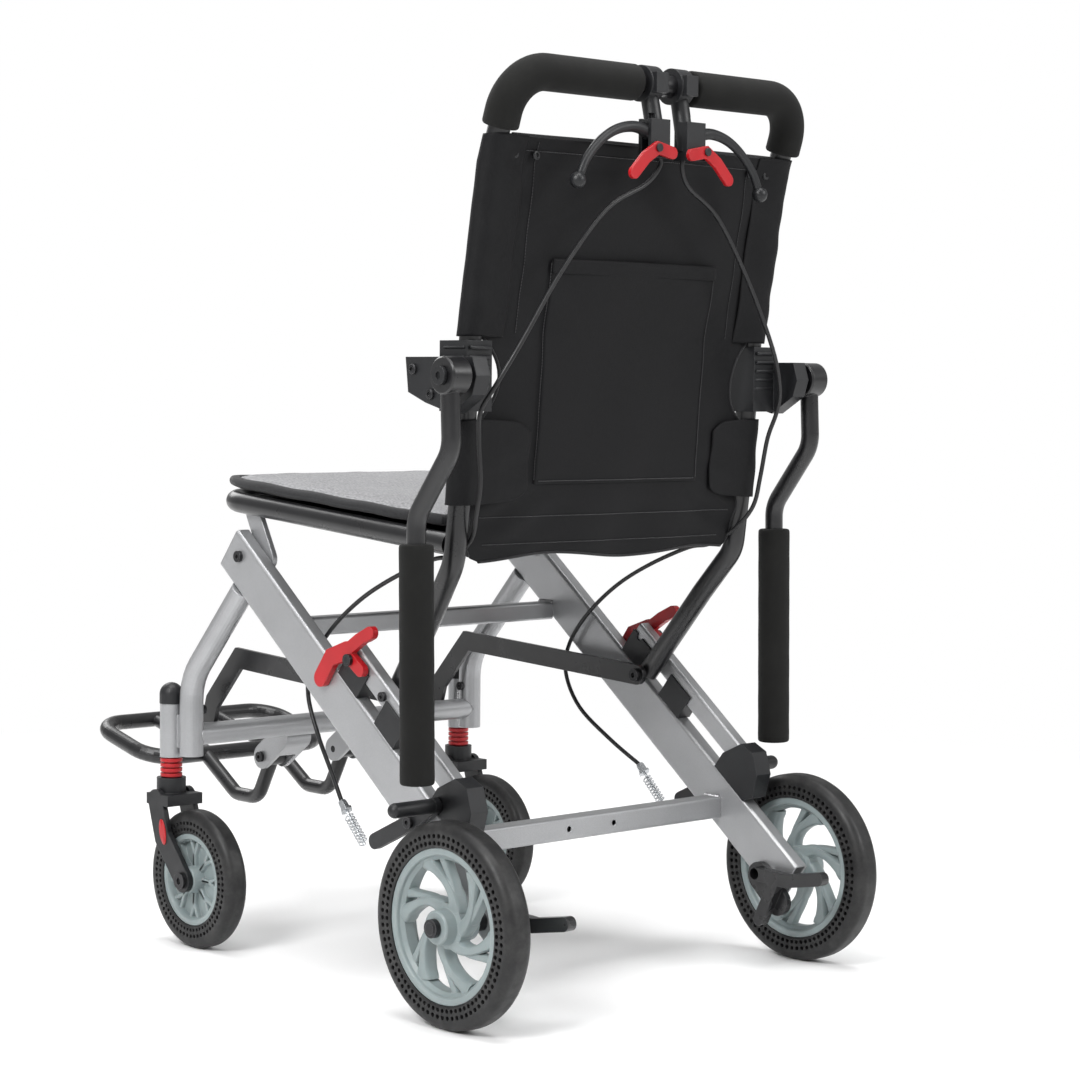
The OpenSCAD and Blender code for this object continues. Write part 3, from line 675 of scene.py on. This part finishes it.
def panel_y(x, z):
    """Depth of the panel: stretched between the tubes, slack and lightly creased in the middle."""
    u = x / 190
    y = back_y(z) if z > 500 else -50 - (500 - z) * 0.22
    slack = (1 - u * u) * (7 + 5 * math.sin((z - SLING_LOW) / 130))
    crease = 2.2 * math.sin(z / 13 + 4 * u) * max(0.0, abs(u) - 0.55) * 1.6
    crease += 1.4 * math.sin((x + 0.55 * z) / 21) * (1 - u * u)
    crease += 1.9 * math.sin(x / 17 + 0.7) * max(0.0, (520 - z) / 80)
    near = math.exp(-((abs(x) - 150) / 55) ** 2 - ((z - 490) / 38) ** 2)
    crease += 2.2 * near * math.sin((abs(x) * 0.7 + z * 1.3) / 8.5)
    far = math.exp(-((abs(x) - 140) / 45) ** 2 - ((z - 690) / 60) ** 2)
    crease += 1.2 * far * math.sin((abs(x) * 0.9 - z * 0.8) / 9.5)
    return y + 3 + slack * 0.75 + crease


def panel_point(u, v):
    """(x, y, z) on the back panel, u across from -1 to 1 and v up from 0 to 1."""
    low = SLING_LOW + 7 * math.sin(u * 2.6 + 0.5) ** 2
    z = low + (SLING_TOP - low) * v
    x = u * edge_x(z)
    return x, panel_y(x, z), z


def make_sling():
    panel = grid_piece("back_panel", 96, 110, lambda u, v: at(*panel_point(2 * u - 1, v)), 2.2)
    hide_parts("back_sling")
    b = Build()
    for s in (-1, 1):
        b.tube([panel_point(s, k / 70) for k in range(1, 39)], 1.8, 10, round_ends=1)
    b.tube([panel_point(k / 45 - 1, 0) for k in range(0, 91)], 1.8, 10, round_ends=1)
    b.tube([panel_point(k / 45 - 1, 1) for k in range(2, 89)], 1.7, 10, round_ends=1)
    piece("sling_binding", b.verts, b.faces, "back_fabric", "frame", material=TRIM["piping"])
    for name, side in BOTH:
        make_sleeve(name, side)
        make_flap(name, side)
    make_pocket()
    make_seams()


def grid_piece(name, cols, rows, point, thickness):
    """A cloth grid with point(u, v) for each corner, given its thickness in mm."""
    verts = [point(i / cols, j / rows) for j in range(rows + 1) for i in range(cols + 1)]
    faces = [(a, a + 1, a + cols + 2, a + cols + 1)
             for j in range(rows) for a in range(j * (cols + 1), j * (cols + 1) + cols)]
    o = piece(name, verts, faces, "back_fabric", "frame")
    return modifier(o, "SOLIDIFY", thickness=thickness * MM, offset=0.0)


def wrap_point(t, z, seam, reach, r):
    """(x, y) on a cloth that leaves the seam, passes behind the tube and comes back in front."""
    y0 = back_y(z)
    run = TUBE_X - seam
    total = run + math.pi * r + reach
    d = t * total
    if d < run:
        k = d / run
        ease = k * k * (3 - 2 * k)
        return seam + d, panel_y(seam, z) + 1.8 + (y0 + r - panel_y(seam, z) - 1.8) * ease
    if d < run + math.pi * r:
        a = math.pi / 2 - (d - run) / r
        return TUBE_X + r * math.cos(a), y0 + r * math.sin(a)
    k = (d - run - math.pi * r) / reach
    ease = k * k * (3 - 2 * k)
    return TUBE_X - k * reach, y0 - r + (panel_y(TUBE_X - reach, z) - 1.8 - y0 + r) * ease


def make_sleeve(name, side):
    """The upper sleeve, sewn round the back tube, with creases pulled towards the seam."""
    seam, reach, r = 162, 36, 13.2

    def point(u, v):
        z = SLEEVE_LOW - 2 + (SLING_TOP + 1 - SLEEVE_LOW) * v
        x, y = wrap_point(u, z, seam, reach, r)
        loose = math.sin(math.pi * min(1.0, u * 1.6)) if u < 0.62 else 0
        y += loose * (0.7 * math.sin(z / 11 + u * 6) + 0.5 * math.sin(z / 5.3 - u * 9))
        return at(side * x, y, z)

    o = grid_piece(f"sleeve_{name}", 60, 80, point, 1.5)


def make_flap(name, side):
    """The lower flap: it wraps the tube and is sewn flat on the panel's back."""
    seam, reach, r = 122 if side > 0 else 138, 20, 13.6

    def point(u, v):
        corner = max(0.0, 0.16 - u) / 0.16
        low = FLAP_LOW - 2 + 10 * (1 - math.sqrt(1 - corner * corner)) - 5 * math.sin(u * 2.4)
        high = FLAP_TOP + 2 - 9 * corner ** 2 + 4 * math.sin(u * 3.1)
        z = low + (high - low) * v
        x, y = wrap_point(u, z, seam, reach, r)
        y += 0.9 * math.sin(z / 8 + u * 9) * math.sin(math.pi * v) * (u < 0.6)
        return at(side * x, y + (1.4 if u < 0.3 else 1.4 * max(0.0, 1 - (u - 0.3) * 8)), z)

    o = grid_piece(f"lower_flap_{name}", 56, 36, point, 1.7)


def patch(name, x0, x1, z0, z1, lift, thickness, rows=60, bulge=0.0):
    """A rectangle of cloth lying on the back of the panel."""
    def point(u, v):
        x, z = x0 + (x1 - x0) * u, z0 + (z1 - z0) * v
        return at(x, panel_y(x, z) + lift + bulge * math.sin(math.pi * u) * v ** 2, z)

    return grid_piece(name, 60, rows, point, thickness)


def make_pocket():
    pocket = patch("back_pocket", -116, 112, 516, 735, 2.2, 1.6, bulge=3.0)
    hem = patch("pocket_hem", -116.5, 112.5, 723, 737, 4.6, 1.8, rows=6, bulge=3.0)


def make_seams():
    """Raised double stitching along the sleeves, the pocket and the hems."""
    runs = [[(s * x, z) for z in range(SLEEVE_LOW + 2, SLING_TOP - 2, 3)]
            for s in (-1, 1) for x in (176, 166, 148)]
    runs += [[(s * 114, z) for z in range(520, 734, 3)] for s in (-1, 1)]
    runs += [[(x, 519) for x in range(-112, 110, 3)], [(x, 726) for x in range(-112, 110, 3)]]
    runs += [[(x, SLING_TOP - 14) for x in range(-172, 174, 3)],
             [(x, 457) for x in range(-166, 168, 3)], [(x, 484) for x in range(-176, 178, 3)]]
    b = Build()
    for run in runs:
        lift = 3.6 if abs(run[0][0]) < 118 and 515 < run[0][1] < 740 else 1.5
        for i in range(0, len(run) - 1):
            (x0, z0), (x1, z1) = run[i], run[i + 1]
            p = Vector((x0, panel_y(x0, z0) + lift, z0))
            q = Vector((x1, panel_y(x1, z1) + lift, z1))
            b.tube([p.lerp(q, 0.1), p.lerp(q, 0.5) + Vector((0, 0.35, 0)), p.lerp(q, 0.85)],
                   [0.35, 0.55, 0.35], 5)
    piece("sling_stitches", b.verts, b.faces, "back_fabric", "frame", material=TRIM["thread"])


SEAT_TILT = math.radians(-4.6)
SEAT_MID = (-265, 494.5)
SEAT_HALF = (198, 186)


def seat_point(x, y, h):
    """A point on the seat pad: x across, y along it and h above its middle plane, in mm."""
    return at(x, SEAT_MID[0] + y * math.cos(SEAT_TILT) - h * math.sin(SEAT_TILT),
              SEAT_MID[1] + y * math.sin(SEAT_TILT) + h * math.cos(SEAT_TILT))


def rounded(u, v, corner=0.16):
    """Maps the unit square onto one with rounded corners and slightly drawn-in sides."""
    x = u * (1 - 0.015 * (1 - v * v))
    y = v * (1 - 0.015 * (1 - u * u))
    k = 1 - corner * 0.42 * (u * u * v * v) ** 2
    return x * k, y * k


def make_seat():
    """The pad, two crowned faces joined round the rim and then swollen, with its piping."""
    cols, rows, half = 48, 46, 8.2
    layers = []
    for sign in (-1, 1):
        grid = []
        for j in range(rows + 1):
            for i in range(cols + 1):
                u, v = 2 * i / cols - 1, 2 * j / rows - 1
                x, y = rounded(u, v)
                crown = (1 - u ** 6) * (1 - v ** 6)
                grid.append(seat_point(x * (SEAT_HALF[0] - 4), y * (SEAT_HALF[1] - 4),
                                       sign * (1.2 + (half - 3.2) * crown ** 0.4)))
        layers.append(grid)
    verts = layers[0] + layers[1]
    count = len(layers[0])
    faces = []
    for j in range(rows):
        for i in range(cols):
            a = j * (cols + 1) + i
            faces.append((a, a + cols + 1, a + cols + 2, a + 1))
            faces.append((count + a, count + a + 1, count + a + cols + 2, count + a + cols + 1))
    rim = ([i for i in range(cols)] + [(j + 1) * (cols + 1) - 1 for j in range(rows)]
           + [rows * (cols + 1) + i for i in range(cols, 0, -1)]
           + [j * (cols + 1) for j in range(rows, 0, -1)])
    for k, a in enumerate(rim):
        c = rim[(k + 1) % len(rim)]
        faces.append((a, c, count + c, count + a))
    pad = piece("seat_cushion", verts, faces, "seat_fabric", None, ["seat_pad"])
    inflate(pad)
    refit(pad, (SEAT_HALF[0] - 3, (SEAT_HALF[1] - 3) * math.cos(SEAT_TILT)))
    for p in pad.data.polygons:
        p.use_smooth = True
    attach(pad, "frame")
    edge = [rounded(*p) for p in rim_square(120)]
    b = Build()
    line = [seat_point(x * (SEAT_HALF[0] - 1.5), y * (SEAT_HALF[1] - 1.5),
                       0.5 * math.sin(k * 0.9)) for k, (x, y) in enumerate(edge)]
    local = [((p.x / MM), (p.y - AXLE_Y) / MM, p.z / MM) for p in line]
    b.tube(local, 5.6, 16, closed=True)
    piece("seat_piping", b.verts, b.faces, "back_fabric", "frame", material=TRIM["piping"])
    make_seat_underside()


def rim_square(n):
    """n points round the edge of the square from -1 to 1."""
    out = []
    for k in range(n):
        t = 4 * k / n
        s = 2 * (t % 1) - 1
        out.append([(s, -1), (1, s), (-s, 1), (-1, -s)][int(t)])
    return out


def inflate(obj, voxel=0.005, cap=0.006, pressure=4.0, last=16):
    """Swells the pad by cloth pressure, caps how far a point moves and keeps the result."""
    modifier(obj, "REMESH", mode="VOXEL", voxel_size=voxel)
    rest = np.array([v.co for v in obj.data.vertices])
    cloth = obj.modifiers.new("cloth", "CLOTH")
    cloth.settings.use_pressure = True
    cloth.settings.uniform_pressure_force = pressure
    cloth.settings.effector_weights.gravity = 0.0
    cloth.settings.tension_stiffness = 30
    cloth.settings.bending_stiffness = 2
    cloth.point_cache.frame_start, cloth.point_cache.frame_end = 1, last
    scene = bpy.context.scene
    for f in range(1, last + 1):
        scene.frame_set(f)
    swollen = obj.evaluated_get(bpy.context.evaluated_depsgraph_get()).data
    moved = np.array([v.co for v in swollen.vertices])
    obj.modifiers.remove(cloth)
    scene.frame_set(1)
    step = moved - rest
    length = np.linalg.norm(step, axis=1, keepdims=True)
    step *= np.minimum(1.0, cap / np.maximum(length, 1e-9))
    obj.data.vertices.foreach_set("co", (rest + step * 0.6).astype(np.float32).ravel())
    obj.data.update()
    modifier(obj, "SUBSURF", levels=1, render_levels=1)


def refit(obj, half):
    """Stretches the swollen pad back over its width and length."""
    co = np.array([v.co for v in obj.data.vertices])
    for axis in (0, 1):
        low, high = co[:, axis].min(), co[:, axis].max()
        co[:, axis] = (co[:, axis] - (low + high) / 2) * (2 * half[axis] * MM / (high - low))
        co[:, axis] += 0.0 if axis == 0 else AXLE_Y + SEAT_MID[0] * MM
    obj.data.vertices.foreach_set("co", co.astype(np.float32).ravel())
    obj.data.update()


def make_seat_underside():
    """The sling under the pad, between the seat loop's sides."""
    def point(u, v):
        u = 2 * u - 1
        y = -430 + v * 340
        tube_z = 481 - (y + 346) * (23 / 280 if y > -346 else 0.08)
        return at(u * 189, y, tube_z + 6 - 3 * (1 - u * u) + 0.4 * math.sin(y / 9) * u * u)

    sling = grid_piece("seat_sling", 60, 40, point, 1.2)


# ---------------------------------------------------------------- small parts
def make_welds():
    """Rows of small fish-scale beads where tubes are welded."""
    b = Build()

    def bead_row(points, r):
        for k in range(len(points) - 1):
            p, q = Vector(points[k]), Vector(points[k + 1])
            steps = max(1, int((q - p).length / (r * 1.1)))
            for i in range(steps):
                c = p.lerp(q, i / steps)
                b.lathe(at(*c), (q - p), [(-r * 0.8, 0.05), (-r * 0.6, r * 0.7), (0, r),
                                         (r * 0.6, r * 0.7), (r * 0.8, 0.05)], 10)
    for s in (1, -1):
        bead_row([(s * 197, -503, 214), (s * 197, -503, 250)], 2.6)
        bead_row([(s * 192, -89, 150), (s * 192, -89, 172), (s * 192, -67, 172)], 2.4)
        bead_row([(s * 192, -356, 347), (s * 192, -356, 366), (s * 192, -334, 366)], 2.2)
        bead_row([(s * 190, -500, 222), (s * 190, -500, 236)], 2.2)
    piece("weld_beads", b.verts, b.faces, "silver_paint", "frame", material=TRIM["weld"])


def make_springs():
    """The return spring, barrel nut and lock nut on each cable's lower end.

    They stop short of the brake arm, so they hang free.
    """
    for name, side in BOTH:
        b = Build()
        start, end = Vector((213 * side, -200.8, 176.8)), Vector((213 * side, -176, 152))
        axis = (end - start).normalized()
        u = axis.orthogonal().normalized()
        w = axis.cross(u)
        turns = 9
        path = []
        for k in range(turns * 14 + 1):
            a = 2 * math.pi * k / 14
            p = start.lerp(end, k / (turns * 14))
            path.append(p + (u * math.cos(a) + w * math.sin(a)) * 4.8)
        b.tube(path, 0.75, 8)
        top = Vector((213 * side, -212, 190))
        b.tube([top, top + axis * 3, top + axis * 9], [4.2, 5, 5], 6)
        b.tube([top + axis * 9.6, top + axis * 12.6], 6.6, 6)
        b.tube([top + axis * 9, end + axis * 2], 1.6, 10)
        o = piece(f"cable_end_{name}", b.verts, b.faces, "zinc_steel", "frame", sharp=30)
        if side > 0:
            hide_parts("cable_adjusters")


def body_of(node):
    """The moving body a CAD node belongs to."""
    return next(b for b, names in frame["record"]["behaviour"]["bodies"].items() if node in names)


def socket_bolt(b, centre, axis, r, h):
    """A domed bolt head with a hexagon socket, standing on centre."""
    b.lathe(centre, axis, [(0, 0.05), (0, r), (h * 0.6, r), (h * 0.9, r * 0.86), (h, r * 0.62),
                           (h, r * 0.45), (h * 0.35, r * 0.4), (h * 0.35, 0.05)], 24)


def make_bracket_detail():
    """Grip ribs and bolts on the armrest brackets, and the snaps on the sling's corners."""
    for name, side in BOTH:
        b = Build()
        for k in range(7):
            z = 594 + 9.2 * k
            y = back_y(z) + 19.6
            b.tube([(side * 187.5, y, z), (side * 214.5, y, z)], 1.9, 12, round_ends=1)
            b.tube([(side * 217, y - 5, z), (side * 217, y - 36, z)], 1.5, 12, round_ends=1)
        piece(f"bracket_ribs_{name}", b.verts, b.faces, "black_plastic",
              body_of(f"arm_bracket_{name}"))
        b = Build()
        for y, z in ((-78, 628), (-52, 604), (-20, 632)):
            socket_bolt(b, at(side * 234, y, z), (side, 0, 0), 5.2, 3.2)
        piece(f"bracket_bolts_{name}", b.verts, b.faces, "black_steel",
              body_of(f"arm_bracket_{name}"), sharp=30)
        b = Build()
        for z, x in ((834, 176), (834, 150)):
            socket_bolt(b, at(side * x, panel_y(x * side, z) + 3.4, z), (0, 1, 0), 4.6, 2.4)
        piece(f"sling_snaps_{name}", b.verts, b.faces, "black_plastic", "frame", sharp=30)


def make_fork_inlays():
    """The red oval set in the outer face of each caster fork."""
    for name, side in BOTH:
        b = Build()
        rings = []
        for x, grow in ((231.5, 1.0), (232.6, 1.0), (233.2, 0.9), (233.2, 0.02)):
            ring = []
            for k in range(32):
                a = 2 * math.pi * k / 32
                u, v = 5.6 * grow * math.cos(a), 14 * grow * math.sin(a)
                tilt = math.radians(14)
                ring.append(at(side * x, -500 + u * math.cos(tilt) - v * math.sin(tilt),
                               124 + u * math.sin(tilt) + v * math.cos(tilt)))
            rings.append(ring)
        b.loft(rings)
        piece(f"fork_inlay_{name}", b.verts, b.faces, "red_plastic", f"caster_{name}")


# ---------------------------------------------------------------- stage
def make_stage():
    bpy.context.scene.view_settings.view_transform = "Standard"
    world = bpy.data.worlds.new("studio")
    bpy.context.scene.world = world
    world.use_nodes = True
    tree = world.node_tree
    sky = tree.nodes["Background"]
    sky.inputs["Color"].default_value = (1, 1, 1, 1)
    sky.inputs["Strength"].default_value = 0.4
    seen = tree.nodes.new("ShaderNodeBackground")
    rays, mix = tree.nodes.new("ShaderNodeLightPath"), tree.nodes.new("ShaderNodeMixShader")
    tree.links.new(rays.outputs["Is Camera Ray"], mix.inputs[0])
    tree.links.new(sky.outputs[0], mix.inputs[1])
    tree.links.new(seen.outputs[0], mix.inputs[2])
    seen.inputs["Color"].default_value = (1, 1, 1, 1)
    tree.links.new(mix.outputs[0], tree.nodes["World Output"].inputs["Surface"])
    mesh = bpy.data.meshes.new("floor")
    reach = 12.0
    mesh.from_pydata([(-reach, -reach, 0), (reach, -reach, 0), (reach, reach, 0),
                      (-reach, reach, 0)], [], [(0, 1, 2, 3)])
    floor = bpy.data.objects.new("floor", mesh)
    bpy.context.scene.collection.objects.link(floor)
    s = Shader("floor_paper")
    reach_of = s.node("ShaderNodeVectorMath", operation="LENGTH")
    s.link(s.coords, reach_of.inputs[0])
    glow = s.remap(reach_of.outputs["Value"], 0.5, 1.9, 0.0, 1.0)
    paper = s.mix(s.noise(3, 3), (0.9, 0.9, 0.9), (0.93, 0.93, 0.93))
    s.colour(s.mix(glow, paper, (0.0, 0.0, 0.0)))
    s.set(Roughness=0.9, Specular_IOR_Level=0.0, Emission_Color=(1, 1, 1, 1))
    s.link(glow, s.bsdf.inputs["Emission Strength"])
    floor.data.materials.append(s.mat)
    for name, place, power, size in (("key", (3.0, 1.0, 2.6), 95, 1.3),
                                     ("back", (-1.6, 3.4, 2.4), 60, 1.6),
                                     ("front", (-0.6, -3.2, 2.6), 40, 2.0),
                                     ("top", (0.2, 0.4, 3.6), 95, 2.6)):
        light = bpy.data.lights.new(name, "AREA")
        light.energy, light.size = power, size
        lamp = bpy.data.objects.new(name, light)
        lamp.location = place
        aim = Vector((0, 0, 0.45)) - Vector(place)
        lamp.rotation_euler = aim.to_track_quat("-Z", "Y").to_euler()
        bpy.context.scene.collection.objects.link(lamp)


def make_camera():
    """The viewpoint: behind the chair's left side, just above its middle, level."""
    azimuth, elevation, roll = (math.radians(v) for v in (137.24, 3.24, 0.51))
    back = Vector((math.sin(azimuth) * math.cos(elevation),
                   -math.cos(azimuth) * math.cos(elevation), math.sin(elevation)))
    right = Vector((0, 0, 1)).cross(back).normalized()
    up = back.cross(right)
    turned = right * math.cos(roll) + up * math.sin(roll)
    up = up * math.cos(roll) - right * math.sin(roll)
    camera = bpy.data.cameras.new("camera")
    camera.lens, camera.sensor_width = 89.7, 36.0
    camera.clip_end = 50
    obj = bpy.data.objects.new("camera", camera)
    bpy.context.scene.collection.objects.link(obj)
    place = at(1909.4, 1915.7, 611.3)
    obj.matrix_world = Matrix((
        (turned.x, up.x, back.x, place.x), (turned.y, up.y, back.y, place.y),
        (turned.z, up.z, back.z, place.z), (0, 0, 0, 1)))
    bpy.context.scene.camera = obj


make_camera()
dress_cad()
make_tubes()
make_foam()
make_cables()
make_brake_levers()
make_rear_wheels()
make_caster_wheels()
make_sling()
make_seat()
make_welds()
make_springs()
make_bracket_detail()
make_fork_inlays()
make_stage()
